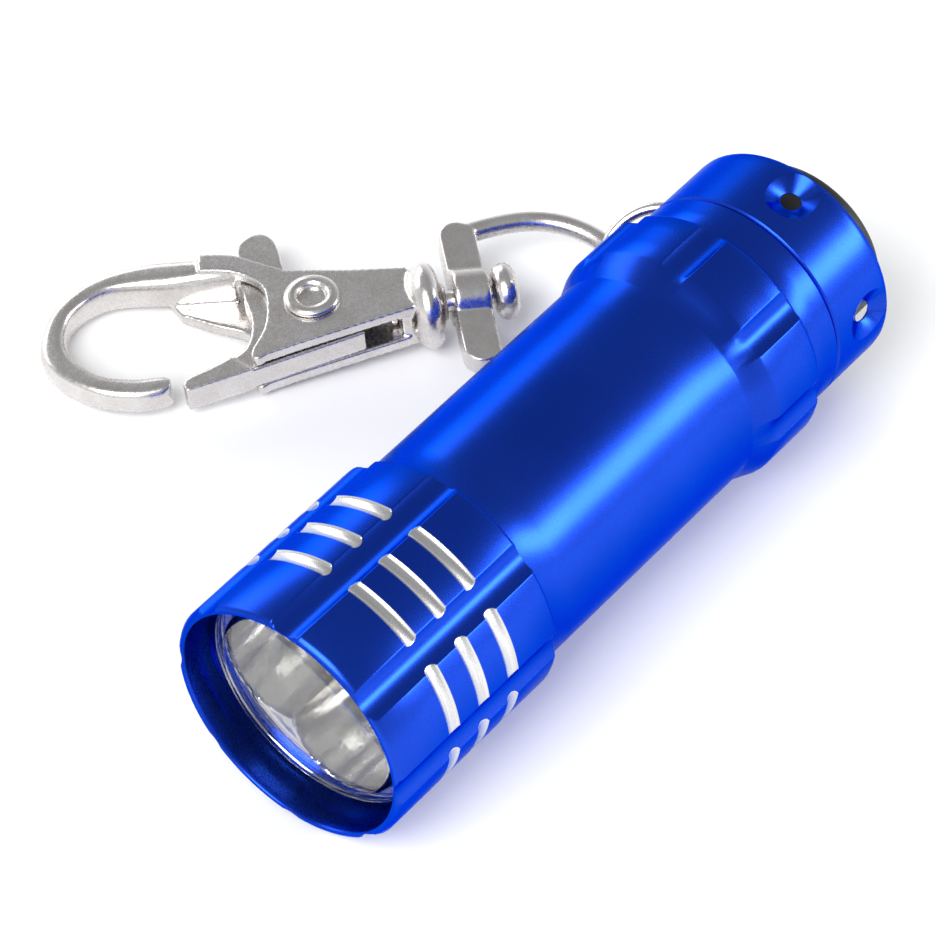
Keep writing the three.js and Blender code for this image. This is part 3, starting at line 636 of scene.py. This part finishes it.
def make_reflector():
    """The reflector: a face pressed into three cups, with a rim and a skirt."""
    rings, columns = 110, 216
    vertices, faces = [(REFLECTOR_FRONT + cup_depth(0, 0), 0, 0)], []
    for i in range(1, rings + 1):
        r = REFLECTOR_FACE_RADIUS * i / rings
        for j in range(columns):
            a = 2 * pi * j / columns
            y, z = -r * sin(a), r * cos(a)
            vertices.append((REFLECTOR_FRONT + cup_depth(y, z), y, z))
    rim = [(REFLECTOR_FRONT, 8.4), (REFLECTOR_FRONT, 8.9), (4.25, LENS_RADIUS), (5.2, LENS_RADIUS)]
    rim += [(5.2, REFLECTOR_FACE_RADIUS), (10.2, REFLECTOR_FACE_RADIUS)]
    for x, r in rim:
        for j in range(columns):
            a = 2 * pi * j / columns
            vertices.append((x, -r * sin(a), r * cos(a)))
    for j in range(columns):
        faces.append((0, 1 + j, 1 + (j + 1) % columns))
    for i in range(rings + len(rim) - 1):
        for j in range(columns):
            k = (j + 1) % columns
            a, b = 1 + i * columns, 1 + (i + 1) * columns
            faces.append((a + j, b + j, b + k, a + k))
    made = piece("reflector_cups", vertices, faces, LIGHT, "light_body", ["reflector"], "bright_reflector")
    return paint(made, MIRROR)


make_reflector()


def make_led(number, y, z):
    """A lamp: its clear body, the small mirror cup inside, and the phosphor over the chip."""
    dome = []
    for k in range(15):
        a = k / 14 * pi / 2
        dome.append((LED_TIP + LED_RADIUS * (1 - cos(a)), LED_RADIUS * sin(a)))
    dome += [(LED_BASE - 0.9, LED_RADIUS), (LED_BASE - 0.05, LED_RADIUS)]
    dome += [(LED_BASE, LED_RADIUS - 0.05), (LED_BASE, 0.0)]
    cup = [(9.6, 0.0), (9.6, 0.45), (9.1, 0.85), (9.1, 1.0), (10.5, 1.0), (10.5, 0.0)]
    die = [(9.25, 0.0), (9.3, 0.5), (9.5, 0.62), (9.58, 0.0)]
    solids = [revolve(profile, turns(n), False) for profile, n in ((dome, 40), (cup, 24), (die, 20))]
    vertices, faces = gather(solids)
    vertices = [(px, py + y, pz + z) for px, py, pz in vertices]
    kinds = [kind for kind, (_, own_faces) in enumerate(solids) for _ in own_faces]
    mesh = bpy.data.meshes.new(f"lamp_{number}")
    mesh.from_pydata([LIGHT @ Vector(v) for v in vertices], [], faces)
    mesh.polygons.foreach_set("material_index", kinds)
    made = finished(f"lamp_{number}", mesh, "light_body", [f"led_{number}"])
    return paint(made, EPOXY, MIRROR, PHOSPHOR)


for i, (y, z) in enumerate(lamp_places):
    make_led(i + 1, y, z)

# ---------------------------------------------------------------- tail cap

def tail_profile():
    """The tail cap's closed [x, r] profile: outside from front to rear, then the bore back."""
    profile = [(43.0, 7.25), (43.3, SPIGOT_RADIUS)]
    profile += [(43.3 + 0.1 * k, SPIGOT_RADIUS) for k in range(1, 37)]
    profile += [(47.25, SPIGOT_RADIUS), (47.25, 7.05), (48.35, 7.05), (48.35, SPIGOT_RADIUS)]
    profile += [(TAIL_FRONT, SPIGOT_RADIUS), (TAIL_FRONT, 8.9), (48.66, 9.04), (48.8, TAIL_RADIUS)]
    profile += [(50.2, TAIL_RADIUS), (51.5, TAIL_RADIUS), (51.62, 8.98), (51.7, 8.82), (51.78, 8.98)]
    profile += [(51.9, TAIL_RADIUS)]
    profile += [(52.6 + 0.6 * k, TAIL_RADIUS) for k in range(9)]
    profile += [(57.72, 9.07), (57.9, 8.98), (TAIL_REAR, 8.8), (TAIL_REAR, 8.45), (57.93, 8.33), (57.8, 8.3)]
    profile += [(54.1, 8.3), (54.1, 5.9), (53.4, 5.9), (53.4, 6.4), (43.0, 6.4)]
    return profile


def tail_radius(x, r, angle):
    """The profile's radius at an angle: threaded on the spigot."""
    if abs(r - SPIGOT_RADIUS) < 0.01 and SPIGOT_THREAD[0] < x < SPIGOT_THREAD[1]:
        share = min(1, max(0, 1.25 - abs(thread_phase(x, angle) - 0.5) / 0.25))
        return SPIGOT_RADIUS + SPIGOT_THREAD_HEIGHT * share
    return r


def make_tail_cap():
    """The tail cap, with the lanyard hole and the dimples cut into it."""
    vertices, faces = revolve(tail_profile(), turns(288), True, tail_radius)
    made = piece("tail_cap_shell", vertices, faces, LIGHT, "tail_cap", ["tail_cap"], "blue_anodised")
    mouth = [(9.02, COUNTERSINK_RADIUS), (9.2, COUNTERSINK_RADIUS + 0.14)]
    mouth += [(10, COUNTERSINK_RADIUS + 0.3), (10, 0.0)]
    opened = [(7.2, 0.0), (7.2, HOLE_RADIUS), (8.5, HOLE_RADIUS), (8.62, HOLE_RADIUS + 0.04), *mouth]
    dimple = [(7.2, 0.0), (7.2, DIMPLE_RADIUS), (8.35, DIMPLE_RADIUS), (8.42, DIMPLE_RADIUS + 0.06), *mouth]
    cutters = []
    for degrees in HOLE_ANGLES:
        bore = opened if degrees == HOLE_ANGLES[-1] else dimple
        turn = Matrix.Translation((HOLE_STATION, 0, 0)) @ Matrix.Rotation(radians(degrees), 4, "X")
        turn = turn @ Matrix.Rotation(-pi / 2, 4, "Y")
        own_vertices, own_faces = revolve(bore, turns(48), False)
        cutters.append(([turn @ Vector(v) for v in own_vertices], own_faces))
    cutter = piece("hole_cutter", *gather(cutters), LIGHT, None)
    cut = made.modifiers.new("Holes", "BOOLEAN")
    cut.object = cutter
    cut.operation = "DIFFERENCE"
    cut.solver = "EXACT"
    graph = bpy.context.evaluated_depsgraph_get()
    mesh = bpy.data.meshes.new_from_object(made.evaluated_get(graph))
    made.modifiers.clear()
    mesh.name = "tail_cap_shell"
    mesh.shade_smooth()
    mesh.set_sharp_from_angle(angle=CUT_SHARP_ANGLE)
    made.data = mesh
    bpy.data.objects.remove(cutter)
    return paint(made, BLUE)


make_tail_cap()

seal = [(47.8 + 0.45 * cos(a), 7.66 + 0.48 * sin(a)) for a in turns(20)]
paint(turned("seal_ring", seal, 96, LIGHT, "seal_carrier", ["tail_seal"], "black_rubber", 0), RUBBER)

boot = [
    (BUTTON_END - 1.3, 0.0), (BUTTON_END - 1.3, 4.9), (52.6, 4.9), (52.6, 6.15), (53.2, 6.15),
    (53.2, 5.65), (54.3, 5.65),
    *((x, BUTTON_RADIUS) for x in (54.3, 55.3, 56.3, 57.3, 58.2, 59, 59.9)),
    (60.2, 6.62), (60.42, 6.4), (60.52, 6.0), (60.56, 4.4), (60.58, 2), (60.58, 0.0),
]
button = turned("button_cover", boot, 112, LIGHT, None, ["button_boot"], "black_rubber", 0.15, closed=False)
paint(button, RUBBER)
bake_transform(button)


def coil(x0, x1, radius, winds, wire):
    """A round-wire spring along X."""
    count = winds * 28
    points = []
    for i in range(count + 1):
        t = i / count
        a = 2 * pi * winds * t
        points.append((x0 + (x1 - x0) * t, radius * cos(a), radius * sin(a)))
    return swept(points, wire, 10)


vertices, faces = coil(*SWITCH_SPRING, SWITCH_SPRING_RADIUS, 3, SWITCH_SPRING_WIRE)
spring = piece("switch_coil", vertices, faces, LIGHT, None, ["switch_spring"], "spring_steel")
paint(spring, WIRE)
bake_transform(spring)


# ---------------------------------------------------------------- key ring

ring_points = [(RING_RADIUS * cos(a), RING_RADIUS * sin(a), 0) for a in turns(144)]
vertices, faces = swept(ring_points, RING_WIRE, 20, closed=True)
ring_turn = RING_NORMAL.to_track_quat("Z", "Y").to_matrix().to_4x4()
ring_matrix = LIGHT @ Matrix.Translation(RING_CENTRE) @ ring_turn
ring = piece("key_ring_wire", vertices, faces, ring_matrix, "key_ring", ["key_ring"], "polished_nickel")
paint(ring, NICKEL)


# ---------------------------------------------------------------- snap clip

def clip_frame(origin, pitch, roll):
    """A frame with the swivel pin's axis along X toward the hook, and Z up."""
    turn = Matrix.Rotation(pi - radians(CLIP_HEADING), 4, "Z")
    turn = turn @ Matrix.Rotation(radians(pitch), 4, "Y") @ Matrix.Rotation(radians(roll), 4, "X")
    return LIGHT @ Matrix.Translation(origin) @ turn


EYE = clip_frame(EYE_ORIGIN, EYE_PITCH, EYE_ROLL)
CLIP = clip_frame(CLIP_ORIGIN, CLIP_PITCH, 0)


def bow_points():
    """The eye's bow: straight sides that spread a little, then a half circle."""
    half = []
    for k in range(9):
        t = k / 8
        y = BOW_START + (BOW_RADIUS - BOW_START) * sin(t * pi / 2)
        half.append((-0.2 + (BOW_CENTRE + 0.2) * t, y, 0))
    for k in range(1, 19):
        a = k / 18 * pi / 2
        half.append((BOW_CENTRE - BOW_RADIUS * sin(a), BOW_RADIUS * cos(a), 0))
    return half + [(x, -y, z) for x, y, z in half[-2::-1]]


def solid_turned(profile):
    """Vertices and faces of a closed solid turned about X."""
    return revolve(profile, turns(64), False)


def make_eye():
    """The swivel eye: a bar with a boss round the pin, and the bow that closes the loop."""
    flat_bar = []
    for end, start in ((EYE_BAR_END, 0), (-EYE_BAR_END, pi)):
        for k in range(13):
            a = start + k / 12 * pi
            flat_bar.append((0.1 + EYE_BAR_RADIUS * cos(a), end + EYE_BAR_RADIUS * sin(a)))
    boss = [(-1.35, 0.0), (-1.35, 1.95), (-1.15, 2.2), (1.3, 2.2), (1.5, 1.95), (1.5, 0.0)]
    flat = prism(flat_bar, -EYE_BAR_HALF, EYE_BAR_HALF)
    solids = [flat, solid_turned(boss), swept(bow_points(), EYE_WIRE, 20)]
    made = cast(
        "eye_loop", solids, EYE, "swivel_eye", ["swivel_eye"], voxel=0.13, rounds=5)
    return paint(made, NICKEL)


make_eye()

pin = [
    (-3.7, 0.0), (-3.68, 0.8), (-3.6, 1.4), (-3.35, 1.9), (-3.0, 2.15), (-2.7, 2.2), (-2.3, 2.12),
    (-2.0, 1.9), (-1.75, 1.5), (-1.75, 0.8), (5.75, 0.8), (5.75, 1.02), (6.2, 1.0), (6.3, 0.0),
]
paint(turned(
    "swivel_pin_turned", pin, 72, CLIP, "clip", ["swivel_pin"], "polished_nickel", 0.1, closed=False), NICKEL)


def make_clip_body():
    """The clip: two plates, their walls, the hook and the bead round the pin."""
    near = [(4.4, 1.8), (9, 2.6), (13.5, 3.4), (16, 3.9)]
    corner = smooth_line([(16, 3.9), (16.7, 4.2), (17.1, 3.7), (16.9, 3)], 12)
    shoulder = smooth_line([(19.6, -7.6), (17.2, -7), (15.2, -5.7), (13.4, -4.4)], 16)
    far = [(9, -3.3), (4.4, -2.4)]
    top_jaw = smooth_line([(16.9, 3), (15.7, 1), (15.2, -1.6), (15.5, -3.6), (17.4, -5.2), (19.8, -5.9)], 30)
    low_jaw = smooth_line([(16.9, 3), (16.1, 0.4), (17, -1.5), (19.2, -2.9), (21.6, -4.6)], 26)
    top = near + corner[1:] + top_jaw[1:] + shoulder + far
    low = near + corner[1:] + low_jaw[1:] + [(22.4, -6.4), (21.4, -7.9)] + shoulder + far
    outside = smooth_line([
        (17.2, -7), (20.3, -7.95), (24, -8.6), (27.8, -8), (31.1, -5.6), (32.6, -2), (31.9, 0.9), (29.2, 3.6),
        (26.4, 4.8), (24.2, 4.9), (23.4, 4.4)], 80)
    inside = smooth_line([
        (23.3, 3.7), (23.7, 3.1), (25.8, 2.8), (28.4, 1.8), (30.2, -0.4), (30.5, -2.8), (29.4, -5),
        (26.6, -6.3), (22, -5.6), (19.8, -5.3), (17.2, -4.9)], 80)
    hook = bar(outside, inside[::-1])
    wall = [(4.4, -2.4), (9, -3.3), (9, -2.5), (5.5, -1.8), (5.5, 1.6), (4.4, 1.8)]
    bead = [
        (1.85, 0.0), (1.85, 1.35), (2.15, 1.4), (2.3, 2.3), (2.45, 2.8), (2.7, 3.1), (3.0, 3.28), (3.3, 3.35),
        (3.7, 3.25), (4.1, 2.95), (4.4, 2.6), (4.7, 2), (4.7, 0.0),
    ]
    solids = [
        prism(top, PLATE_INSIDE, PLATE_OUTSIDE), prism(low, -PLATE_OUTSIDE, -PLATE_INSIDE), hook,
        prism(wall, -WALL_HALF, WALL_HALF), solid_turned(bead),
    ]
    made = cast("clip_frame", solids, CLIP, "clip", ["clip_body"], voxel=0.12, rounds=6)
    return paint(made, NICKEL)


make_clip_body()


def make_trigger():
    """The trigger: thin between the plates, with an arm as tall as the hook beyond them."""
    shape = smooth_line([(8.4, 2.5), (13.6, 3.55), (19, 4.65), (22.1, 5.2), (22.35, 5.0), (22.5, 4.6)], 40)
    shape += smooth_line([(22.3, 4.1), (21.6, 3.8), (19.4, 3), (17.4, 1.8), (16.6, -0.6), (16.8, -3.4)], 30)
    shape += smooth_line([
        (16.75, -6), (16.6, -8.6), (15.9, -9.5), (15, -9.8), (14.2, -9.5), (13.6, -8.4), (13.4, -5.6)], 34)
    shape += smooth_line([(13.2, -3.6), (11.4, -3), (9.6, -1.6), (9, 0.2), (8.5, 1.4)], 20)
    arm = [(x, y) for x, y in shape if hypot(x - PIVOT[0], y - PIVOT[1]) > PLATES_REACH and y > 0]
    solids = [prism(shape, -TRIGGER_HALF, TRIGGER_HALF), prism(arm, -HOOK_HALF_HEIGHT, HOOK_HALF_HEIGHT)]
    made = cast(
        "trigger_lever", solids, CLIP, "trigger", ["trigger"], voxel=0.11, rounds=5)
    return paint(made, NICKEL)


make_trigger()

upright = CLIP @ Matrix.Translation((*PIVOT, 0)) @ Matrix.Rotation(-pi / 2, 4, "Y")
rivet = [
    (-2.5, 1.25), (-2.5, 1.8), (-2.1, 1.8), (-2.1, 1.3), (2.12, 1.3), (2.12, 2.05), (2.3, 2.14), (2.48, 2.05),
    (2.62, 1.8), (2.66, 1.55), (2.62, 1.3), (2.45, 1.1), (2.2, 1.0), (-2.2, 1.0),
]
paint(turned("rivet_tube", rivet, 72, upright, "clip", ["trigger_rivet"], "polished_nickel", 0.05), NICKEL)


def torsion_points():
    """The trigger spring: two turns round the rivet, with a straight leg at each end."""
    leg = 0.12
    points = []
    for i in range(121):
        t = i / 120
        if t < leg:
            points.append((PIVOT[0] - 2 * (1 - t / leg), PIVOT[1] - SPRING_RADIUS, SPRING_FRONT))
        elif t > 1 - leg:
            points.append((PIVOT[0] + 1.2 * (t - 1 + leg) / leg, PIVOT[1] - SPRING_RADIUS, SPRING_BACK))
        else:
            s = (t - leg) / (1 - 2 * leg)
            a = -pi / 2 + 4 * pi * s
            x, y = PIVOT[0] + SPRING_RADIUS * cos(a), PIVOT[1] + SPRING_RADIUS * sin(a)
            points.append((x, y, SPRING_FRONT + (SPRING_BACK - SPRING_FRONT) * s))
    return points


vertices, faces = swept(torsion_points(), SPRING_WIRE, 10)
torsion = piece("trigger_coil", vertices, faces, CLIP, None, ["trigger_spring"], "spring_steel")
paint(torsion, WIRE)
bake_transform(torsion)

# ---------------------------------------------------------------- inner parts that keep their CAD shape

for names, look in (
    (["led_board"], BOARD),
    (["resistor", "switch_housing"], BLACK_PLASTIC),
    (["front_contact_spring", "tail_contact_spring", "retaining_ring"], WIRE),
    (["battery_sleeve", "plunger"], WHITE_PLASTIC),
    (["cell_1", "cell_2", "cell_3", "cell_4"], WIRE),
):
    for name in names:
        paint(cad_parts[name], look)

# ---------------------------------------------------------------- floor, lights and camera

FLOOR_HALF = 3
CAMERA_PLACE = (-163.94, -147.04, 266.57)
CAMERA_AIM = (0.52677, 0.42151, -0.73813)

floor_corners = [(x * FLOOR_HALF, y * FLOOR_HALF, 0) for x, y in ((-1, -1), (1, -1), (1, 1), (-1, 1))]
floor_mesh = bpy.data.meshes.new("floor")
floor_mesh.from_pydata(floor_corners, [], [(0, 1, 2, 3)])
floor = bpy.data.objects.new("floor", floor_mesh)
bpy.context.scene.collection.objects.link(floor)
look, tree, shader = material("Pale floor", Roughness=0.6, Specular_IOR_Level=0.2)
shader.inputs["Base Color"].default_value = (0.93, 0.93, 0.93, 1)
paint(floor, look)


def softbox(name, position, target, width, height, power):
    """A rectangular lamp that points at a target."""
    data = bpy.data.lights.new(name, "AREA")
    data.shape = "RECTANGLE"
    data.size, data.size_y = width, height
    data.energy = power
    made = bpy.data.objects.new(name, data)
    bpy.context.scene.collection.objects.link(made)
    made.location = Vector(position)
    made.rotation_euler = (Vector(target) - Vector(position)).to_track_quat("-Z", "Y").to_euler()


softbox("Key", (-0.55, -0.05, 0.6), (0, 0, 0), 0.5, 0.5, 6.5)
softbox("Side strip", (0.35, -0.49, 0.26), (0, 0, 0.01), 0.5, 0.17, 2.8)
softbox("Back fill", (0.1, 0.7, 0.3), (0, 0, 0), 0.8, 0.3, 2)

world = bpy.data.worlds.new("Studio")
world.use_nodes = True
bpy.context.scene.world = world
tree = world.node_tree
background = tree.nodes["Background"]
where = tree.nodes.new("ShaderNodeTexCoord")
split = tree.nodes.new("ShaderNodeSeparateXYZ")
tree.links.new(where.outputs["Generated"], split.inputs["Vector"])
level = ramp(tree, split.outputs["Z"], 0.05, 0.65, 1.0, 0.38)
tree.links.new(level, background.inputs["Strength"])
background.inputs["Color"].default_value = (0.95, 0.97, 1, 1)

camera_data = bpy.data.cameras.new("Camera")
camera_data.sensor_width = 36
camera_data.lens = 194.35
camera_data.clip_start = 0.01
camera_data.clip_end = 20
camera = bpy.data.objects.new("Camera", camera_data)
bpy.context.scene.collection.objects.link(camera)
camera.rotation_mode = "QUATERNION"
camera.location = LIGHT @ Vector(CAMERA_PLACE)
camera.rotation_quaternion = Vector(CAMERA_AIM).to_track_quat("-Z", "Y")
bpy.context.scene.camera = camera
bpy.context.scene.view_settings.view_transform = "Standard"
